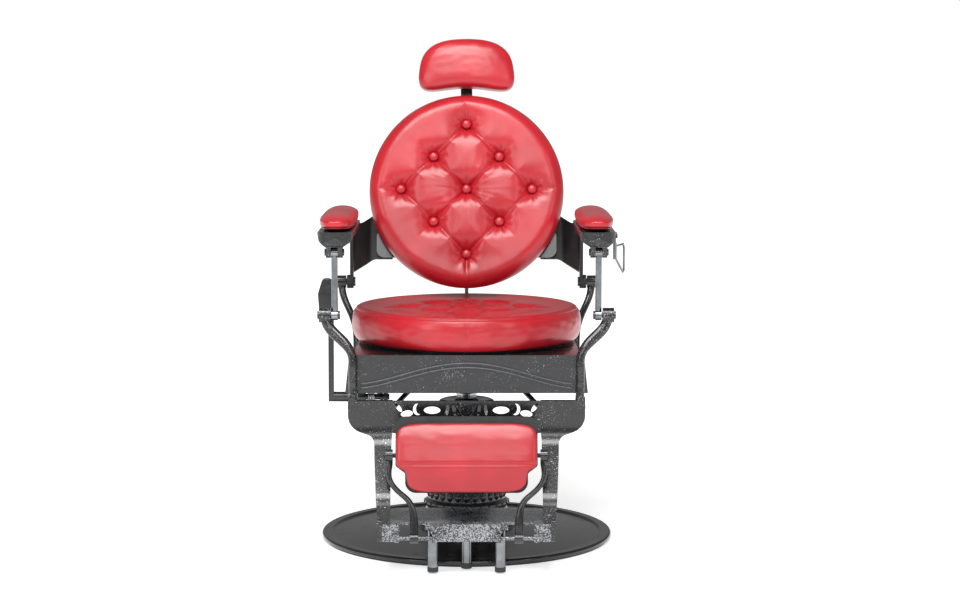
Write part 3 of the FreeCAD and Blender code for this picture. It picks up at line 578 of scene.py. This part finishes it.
@dataclass
class Back:
    """The round buttoned back cushion, its buttons and its welt."""

    tufting: Tufting = field(default_factory=lambda: Tufting(0.0818))
    front: float = -0.046
    rear: float = 0.029
    steps: int = 420
    button_r: float = 0.0122
    rise: float = 0.003
    flat: float = 0.78

    def __post_init__(self) -> None:
        """Read the lean and the middle from the frame."""
        axis = joint_named("headrest_slide")["axis"]
        lean = math.atan2(axis[1], axis[2])
        turn = Matrix.Rotation(-lean, 4, "X")
        low, high = box_of("back_cushion")
        self.radius = (high.x - low.x) / 2
        board_middle = turn @ Vector((0.0, 0.036, 0.0))
        self.place = Matrix.Translation(centre_of("back_board") - board_middle) @ turn

    def profile(self) -> list[tuple[float, float]]:
        """Half the cushion's section as (radius, depth), from the front pole to the rear one."""
        points = [(self.radius * step / 66 * self.flat, self.front) for step in range(66)]
        middle = (self.front + self.rear) / 2 + 0.003
        for step in range(41):
            turn = math.pi * (step / 40 - 0.5)
            bulge = abs(math.cos(turn)) ** 0.62
            rise = math.copysign(abs(math.sin(turn)) ** 0.80, math.sin(turn))
            half = middle - self.front if rise < 0 else self.rear - middle
            reach = self.flat + (1 - self.flat) * bulge
            points.append((self.radius * reach, middle + half * rise))
        points += [(self.radius * self.flat * (1 - step / 8), self.rear) for step in range(1, 9)]
        return points

    def shape_cover(self, vertex: bmesh.types.BMVert) -> None:
        """Pull one point of the cover in where the tufting does."""
        x, y, z = vertex.co
        away = math.hypot(x, z)
        facing = min(1.0, max(0.0, (self.rear - 0.012 - y) / 0.045))
        crown = 0.008 * (away / self.radius) ** 2 if y < 0 else 0.0
        crown -= 0.003 * math.exp(-(((away - 0.215) / 0.022) ** 2)) if y < 0 else 0.0
        pull = self.tufting.relief(x, z - self.rise) * facing
        turn = math.atan2(z, x)
        ripple = 0.0006 * noise.noise(Vector((7 * math.cos(turn), 7 * math.sin(turn), 18 * away)))
        vertex.co.y = y + pull + (crown + ripple) * facing

    def build(self) -> None:
        """Make the cushion, the buttons and the welt."""
        cover = turned([(radius, -depth) for radius, depth in self.profile()], self.steps)
        face_front = Matrix.Rotation(math.pi / 2, 4, "X")
        bmesh.ops.transform(cover, matrix=face_front, verts=cover.verts[:])
        for vertex in cover.verts:
            self.shape_cover(vertex)
        cushion = make_piece(cover, "back_cover", "back", Finish.LEATHER, self.place)
        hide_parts("back_cushion")
        buttons = bmesh.new()
        for x, z in self.tufting.buttons():
            button = covered_button(self.button_r, 0.0075)
            stand = Matrix.Translation((x, self.front + self.tufting.dimple + 0.0005, z + self.rise))
            bmesh.ops.transform(button, matrix=stand @ face_front, verts=button.verts[:])
            add_to(buttons, button)
        made = make_piece(buttons, "back_covered_buttons", "back", Finish.LEATHER, self.place)
        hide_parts("back_buttons")
        seam_r = self.radius - 0.008

        def edge(part: float) -> Vector:
            """A point on the welt."""
            turn = math.tau * part
            return Vector((seam_r * math.cos(turn), self.rear - 0.014, seam_r * math.sin(turn)))

        make_piece(ring(edge, 0.0026), "back_welt", "back", Finish.SEAM, self.place)


def add_to(whole: bmesh.types.BMesh, part: bmesh.types.BMesh) -> None:
    """Add one shape to another and free it."""
    mesh = bpy.data.meshes.new("part")
    part.to_mesh(mesh)
    part.free()
    whole.from_mesh(mesh)
    bpy.data.meshes.remove(mesh)


# ---------------------------------------------------------------- seat


@dataclass
class Seat:
    """The thick round seat cushion: a tufted top and a bulging side with upright seams."""

    tufting: Tufting = field(default_factory=lambda: Tufting(0.072, 0.016, 0.026, 0.0075, 0.006, 0.05))
    crest: float = 0.90
    steps: int = 400

    def __post_init__(self) -> None:
        """Read the cushion's size from the frame."""
        low, high = box_of("seat_cushion")
        self.radius = (high.x - low.x) / 2
        self.low = low.z
        self.high = high.z
        self.middle = Vector(((low.x + high.x) / 2, (low.y + high.y) / 2, 0.0))

    def profile(self) -> list[tuple[float, float]]:
        """Half the section as (radius, height), from the lower pole to the upper one."""
        inner = self.radius * self.crest
        points = [(inner * step / 10, self.low) for step in range(10)]
        half = (self.high - self.low) / 2
        for step in range(49):
            turn = math.pi * (step / 48 - 0.5)
            bulge = abs(math.cos(turn)) ** 0.70
            rise = math.copysign(abs(math.sin(turn)) ** 0.88, math.sin(turn))
            points.append((inner + (self.radius - inner) * bulge, self.low + half * (1 + rise)))
        points += [(inner * (1 - step / 70), self.high) for step in range(1, 71)]
        return points

    def shape_cover(self, vertex: bmesh.types.BMVert) -> None:
        """Give one point of the cover its tufts, seams and slight unevenness."""
        x, y, z = vertex.co
        away = math.hypot(x, y)
        up = (z - self.low) / (self.high - self.low)
        turn = math.atan2(y, x)
        out = Vector((math.cos(turn), math.sin(turn), 0.0))
        if up > 0.93:
            inside = min(1.0, max(0.0, (self.radius * 0.97 - away) / 0.03))
            dish = 0.004 * math.exp(-(((away - 0.205) / 0.03) ** 2)) + 0.003
            vertex.co.z -= (self.tufting.relief(x, y) + dish) * inside
        seam = 0.0030 * math.exp(-(((up - 0.90) / 0.022) ** 2))
        side = max(0.0, 1 - abs(up - 0.55) / 0.45)
        for quarter in range(4):
            gap = abs((turn - math.pi / 2 * quarter + math.pi) % math.tau - math.pi) * self.radius
            seam += 0.0042 * side * math.exp(-gap / 0.0034)
        ripple = noise.noise(Vector((9 * out.x, 9 * out.y, 6 * up)))
        sag = 0.0016 * ripple * side
        vertex.co -= out * ((seam - sag) if up > 0.02 else 0.0)

    def build(self) -> None:
        """Make the cushion and the buttons on top."""
        cover = turned(self.profile(), self.steps)
        for vertex in cover.verts:
            self.shape_cover(vertex)
        place = Matrix.Translation(self.middle)
        cushion = make_piece(cover, "seat_cover", "seat", Finish.LEATHER, place)
        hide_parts("seat_cushion")
        buttons = bmesh.new()
        for x, y in self.tufting.buttons():
            button = covered_button(0.0105, 0.006)
            height = self.high - self.tufting.dimple - 0.003
            bmesh.ops.translate(button, vec=(x, y, height), verts=button.verts[:])
            add_to(buttons, button)
        make_piece(buttons, "seat_covered_buttons", "seat", Finish.LEATHER, place)


# ---------------------------------------------------------------- headrest


@dataclass
class Headrest:
    """The bean-shaped head cushion with a welt round its rear edge."""

    half: Vector = field(default_factory=lambda: Vector((0.121, 0.037, 0.074)))
    cuts: int = 44
    power: float = 3.6
    welt_deep: float = 0.52

    def __post_init__(self) -> None:
        """Read the lean and the middle from the frame."""
        axis = joint_named("headrest_slide")["axis"]
        turn = Matrix.Rotation(-math.atan2(axis[1], axis[2]), 4, "X")
        self.place = Matrix.Translation(centre_of("headrest_pad")) @ turn

    def warp(self, point: Vector) -> Vector:
        """Map a point of the soft block to the cushion."""
        across, deep, up = point
        narrow = 1.0 - 0.13 * max(0.0, (up + 0.35) / 1.35) ** 1.6 - 0.02 * max(0.0, -up - 0.55)
        x = self.half.x * across * narrow
        arch = 0.027 * (1 - across * across) * (1 - up) / 2
        crown = 0.012 * (1 - across * across) * (1 + up) / 2
        z = self.half.z * up * 0.94 + arch + crown - 0.012
        swell = 1.0 - 0.20 * across * across - 0.10 * max(0.0, up) ** 2
        y = self.half.y * deep * (swell if deep < 0 else 0.92)
        groove = 0.0022 * math.exp(-(((deep - 0.52) / 0.10) ** 2))
        out = Vector((across, 0.0, up)).normalized() if abs(across) + abs(up) > 0.2 else Vector()
        wrinkle = 0.0007 * noise.noise(Vector((5 * across, 3 * deep, 4 * up)))
        return Vector((x, y + wrinkle, z)) - out * groove

    def build(self) -> None:
        """Make the cushion and its welt."""
        cover = soft_block(self.cuts, self.power)
        for vertex in cover.verts:
            vertex.co = self.warp(vertex.co)
        cushion = make_piece(cover, "headrest_cover", "headrest", Finish.LEATHER, self.place)
        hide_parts("headrest_pad")

        def edge(part: float) -> Vector:
            """A point on the welt."""
            turn = math.tau * part
            raw = Vector((math.cos(turn), self.welt_deep, math.sin(turn)))
            spread = sum(abs(value) ** self.power for value in raw) ** (1 / self.power)
            return self.warp(raw / spread)

        make_piece(ring(edge, 0.0021), "headrest_welt", "headrest", Finish.SEAM, self.place)


# ---------------------------------------------------------------- armrests


class Side(Enum):
    """The sitter's two sides; the left is at +X."""

    LEFT = 1
    RIGHT = -1

    @property
    def word(self) -> str:
        """The side's name in lower case."""
        return self.name.lower()


@dataclass
class ArmrestPad:
    """A long domed arm cushion, round in front and narrower behind."""

    side: Side
    cuts: int = 40
    power: float = 3.4
    welt_up: float = -0.6

    def warp(self, point: Vector, low: Vector, high: Vector) -> Vector:
        """Map a point of the soft block to the pad."""
        across, along, up = point
        half = (high - low) / 2
        middle = (high + low) / 2
        back = max(0.0, (along - 0.65) / 0.35)
        width = half.x * (1.0 - 0.55 * back * back)
        front = max(0.0, (-along - 0.80) / 0.20)
        dome = 1.0 - 0.50 * across * across - 0.30 * front * front - 0.18 * back
        rise = half.z * up * (dome if up > 0 else 1.0)
        groove = 0.0016 * math.exp(-(((up + 0.60) / 0.12) ** 2))
        x = middle.x + across * (width - groove)
        return Vector((x, middle.y + half.y * along * 0.998, middle.z + rise))

    def build(self) -> None:
        """Make the pad and its welt."""
        node = f"armrest_pad_{self.side.word}"
        body = f"armrest_{self.side.word}"
        low, high = box_of(node)
        high.z += 0.006
        cover = soft_block(self.cuts, self.power)
        for vertex in cover.verts:
            vertex.co = self.warp(vertex.co, low, high)
        pad = make_piece(cover, f"arm_cover_{self.side.word}", body, Finish.LEATHER)
        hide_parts(node)

        def edge(part: float) -> Vector:
            """A point on the welt."""
            turn = math.tau * part
            raw = Vector((math.cos(turn), math.sin(turn), 0.0))
            raw.z = self.welt_up
            spread = sum(abs(value) ** self.power for value in raw) ** (1 / self.power)
            return self.warp(raw / spread, low, high)

        make_piece(ring(edge, 0.0019, 220), f"arm_welt_{self.side.word}", body, Finish.SEAM)


# ---------------------------------------------------------------- calf rest


@dataclass
class CalfPad:
    """The calf cushion: a broad upper face, a narrower lower one and a soft ridge between."""

    lean: float = math.radians(13.0)
    ridge: float = -0.022
    cuts: int = 48

    def __post_init__(self) -> None:
        """Read the pivot from the frame."""
        pivot = Vector(joint_named("calf_pad_tilt")["pos_m"])
        self.place = Matrix.Translation(pivot) @ Matrix.Rotation(-self.lean, 4, "X")

    def face(self, height: float) -> float:
        """How far the front face stands out at a height."""
        top, low, out = 0.071, -0.083, 0.046
        if height > self.ridge:
            part = (height - self.ridge) / (top - self.ridge)
            return out - 0.020 * part + 0.004 * math.sin(math.pi * part)
        part = (self.ridge - height) / (self.ridge - low)
        return out - 0.027 * part**1.1 + 0.003 * math.sin(math.pi * part)

    def warp(self, point: Vector) -> Vector:
        """Map a point of the soft block to the pad."""
        across, deep, up = point
        z = -0.006 + 0.077 * up
        lower = 1 / (1 + math.exp((z - self.ridge + 0.010) / 0.0035))
        half_x = 0.158 - 0.023 * lower
        front = self.face(z) - 0.0030 * math.exp(-(((z - self.ridge) / 0.003) ** 2))
        depth = 0.0055 + (front - 0.0055) * (1 - deep) / 2
        groove = 0.0020 * math.exp(-(((deep - 0.55) / 0.10) ** 2))
        wrinkle = 0.0005 * noise.noise(Vector((6 * across, 2 * deep, 5 * up)))
        return Vector((across * (half_x - groove), -depth + wrinkle, z))

    def build(self) -> None:
        """Make the pad."""
        cover = soft_block(self.cuts, 7.0)
        for vertex in cover.verts:
            vertex.co = self.warp(vertex.co)
        pad = make_piece(cover, "calf_cover", "calf_rest", Finish.LEATHER, self.place)
        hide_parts("calf_pad")


# ---------------------------------------------------------------- castings' ornaments


@dataclass
class HousingOrnament:
    """Raised beads and leaves cast round the pump housing's collar."""

    bead_count: int = 28
    collar_r: float = 0.0935
    collar_z: float = 0.110

    def build(self) -> None:
        """Make the leaves and the beads as one piece."""
        shape = bmesh.new()
        for step in range(self.bead_count):
            turn = Matrix.Rotation(math.tau * step / self.bead_count, 4, "Z")
            leaf = Matrix.Translation((self.collar_r - 0.003, 0.0, self.collar_z))
            leaf = leaf @ Matrix.Diagonal((0.8, 1.0, 1.5, 1.0))
            bmesh.ops.create_uvsphere(shape, u_segments=10, v_segments=8, radius=0.0085, matrix=turn @ leaf)
            half = Matrix.Rotation(math.tau * (step + 0.5) / self.bead_count, 4, "Z")
            bead = Matrix.Translation((0.1015, 0.0, 0.087))
            bmesh.ops.create_uvsphere(shape, u_segments=8, v_segments=6, radius=0.0032, matrix=half @ bead)
        make_piece(shape, "housing_leaves", "base", Finish.VEINED)


@dataclass
class ApronLines:
    """Two lighter lines along the front apron, high in the middle and low at the sides; their lighter grey is
    partly worn silver and partly a painted highlight for the light caught by the apron's embossed ribs.
    """

    gap: float = 0.010
    wire_r: float = 0.0016
    half_w: float = 0.246
    steps: int = 96
    sides: int = 8

    def height(self, x: float) -> float:
        """The upper line's height at a distance across."""
        swell = 0.5 * (1 + math.cos(math.pi * min(abs(x), 0.25) / 0.25))
        return 0.4105 + 0.048 * swell**0.8

    def build(self) -> None:
        """Make both lines as one piece."""
        front = box_of("apron_front")[0].y - 0.0002
        shape = bmesh.new()
        turns = [math.tau * side / self.sides for side in range(self.sides)]
        rim = [(self.wire_r * math.cos(turn), self.wire_r * math.sin(turn)) for turn in turns]
        for drop in (0.0, self.gap):
            rings = []
            for step in range(self.steps + 1):
                x = self.half_w * (2 * step / self.steps - 1)
                z = self.height(x) - drop
                rings.append([shape.verts.new((x, front + out, z + up)) for out, up in rim])
            for one, two in zip(rings, rings[1:]):
                for side in range(self.sides):
                    after = (side + 1) % self.sides
                    shape.faces.new((one[side], one[after], two[after], two[side]))
            shape.faces.new(rings[0][::-1])
            shape.faces.new(rings[-1])
        bmesh.ops.recalc_face_normals(shape, faces=shape.faces[:])
        # the cords carry the painted highlight of the embossed ribs, partly worn silver
        make_piece(shape, "apron_lines", "seat", Finish.LINE)


# ---------------------------------------------------------------- finishes on the frame

COATS: dict[Finish, tuple[str, ...]] = {
    Finish.BASE: ("base_plate",),
    Finish.VEINED: (
        "side_frame_left", "side_frame_right", "lattice_plate", "armrest_body_left", "armrest_body_right",
    ),
    Finish.SPECKLED: ("footrest_tread",),
    Finish.SATIN: ("back_bracket_left", "back_bracket_right"),
    Finish.PANEL: ("apron_front",),
    Finish.GLOSS: (
        "apron_left", "apron_right", "apron_rear", "seat_deck", "back_frame", "headrest_socket",
        "seat_braces", "lever_bar", "lever_bearing", "rear_arm_left", "rear_arm_right",
        "calf_arms", "column_cap", "pump_housing",
        "headrest_bar", "arm_pivot_pins", "frame_bolts", "armrest_pins_left", "armrest_pins_right",
    ),
    Finish.CHROME: (
        "arm_rod_left", "arm_rod_right", "foot_posts", "towel_ring", "strut_rod",
    ),
    Finish.STEEL: (
        "ram", "ram_piston", "thrust_bearing", "pump_rod", "pump_cross_shaft", "pump_link",
        "lever_spring", "housing_bolts", "headrest_bracket", "strut_tube", "pump_cylinder",
    ),
    Finish.BRONZE: ("swivel_hub",),
    Finish.RUBBER: ("floor_ring", "foot_tips"),
    Finish.PLASTIC: ("headrest_knob", "lever_grip"),
    Finish.PLYWOOD: ("back_board",),
    Finish.BOARD: ("seat_board", "calf_board"),
}


def coat_frame() -> None:
    """Put the finishes on the frame's nodes."""
    for finish, nodes in COATS.items():
        for node in nodes:
            PAINT.coat(node, finish)


# ---------------------------------------------------------------- studio


@dataclass
class Studio:
    """White floor, soft lights and the camera."""

    eye: tuple[float, float, float] = (0.0, -5.5, 1.19)
    pitch: float = math.radians(6.375)
    lens: float = 86.3
    shift: float = 0.014
    ambient: float = 0.28

    def light(
        self,
        name: str,
        at: Sequence[float],
        aim: Sequence[float],
        size: tuple[float, float],
        watts: float,
    ) -> None:
        """Add an area light.

        Args:
            name: Its name.
            at: Where it hangs.
            aim: What it points at.
            size: Its width and height.
            watts: Its power.
        """
        data = bpy.data.lights.new(name, "AREA")
        data.shape = "RECTANGLE"
        data.size, data.size_y = size
        data.energy = watts
        lamp = bpy.data.objects.new(name, data)
        lamp.location = at
        lamp.rotation_euler = (Vector(aim) - Vector(at)).to_track_quat("-Z", "Y").to_euler()
        bpy.context.scene.collection.objects.link(lamp)

    def floor(self) -> None:
        """Lay a white floor."""
        shape = bmesh.new()
        bmesh.ops.create_grid(shape, x_segments=2, y_segments=2, size=30.0)
        mesh = bpy.data.meshes.new("floor")
        shape.to_mesh(mesh)
        shape.free()
        graph = Graph("floor_white")
        away = graph.node("ShaderNodeVectorMath", {"operation": "LENGTH"}, {"Vector": graph.place}, "Value")
        glow = graph.blend(away.between(0.5, 2.4), (0.58, 0.58, 0.58), (1.0, 1.0, 1.0))
        base = (0.8, 0.8, 0.8, 1.0)
        mesh.materials.append(
            graph.finish(base_color=base, roughness=0.9, emission_color=glow, emission_strength=1.0)
        )
        floor = bpy.data.objects.new("floor", mesh)
        bpy.context.scene.collection.objects.link(floor)

    def build(self) -> None:
        """Make the camera, the world, the floor and the lights."""
        scene = bpy.context.scene
        camera = bpy.data.objects.new("camera", bpy.data.cameras.new("camera"))
        camera.data.lens = self.lens
        camera.data.sensor_width = 36.0
        camera.data.shift_x = self.shift
        camera.location = self.eye
        camera.rotation_euler = (math.pi / 2 - self.pitch, 0.0, 0.0)
        scene.collection.objects.link(camera)
        scene.camera = camera
        world = bpy.data.worlds.new("studio")
        world.use_nodes = True
        tree = world.node_tree
        sky = tree.nodes["Background"]
        sky.inputs["Color"].default_value = (1.0, 1.0, 1.0, 1.0)
        path = tree.nodes.new("ShaderNodeLightPath")
        level = tree.nodes.new("ShaderNodeMapRange")
        level.inputs["To Min"].default_value = self.ambient
        level.inputs["To Max"].default_value = 1.0
        tree.links.new(path.outputs["Is Camera Ray"], level.inputs["Value"])
        tree.links.new(level.outputs["Result"], sky.inputs["Strength"])
        scene.world = world
        scene.view_settings.view_transform = "Standard"
        self.floor()
        self.light("overhead", (-0.3, -1.7, 3.1), (0.0, 0.1, 0.75), (2.2, 1.3), 104.0)
        self.light("front_high", (0.0, -4.6, 2.7), (0.0, 0.0, 0.8), (2.6, 1.0), 48.0)
        self.light("front_left", (-2.6, -3.4, 2.0), (0.0, 0.0, 0.7), (1.1, 1.8), 34.0)
        self.light("front_right", (2.8, -3.2, 2.2), (0.0, 0.0, 0.7), (1.1, 1.8), 22.0)



def main() -> None:
    """Build the studio and every piece."""
    logging.basicConfig(level=logging.INFO, format="%(name)s: %(message)s")
    Studio().build()
    coat_frame()
    Seat().build()
    Back().build()
    Headrest().build()
    for side in Side:
        ArmrestPad(side).build()
    CalfPad().build()
    HousingOrnament().build()
    ApronLines().build()


if __name__ == "__main__":
    main()
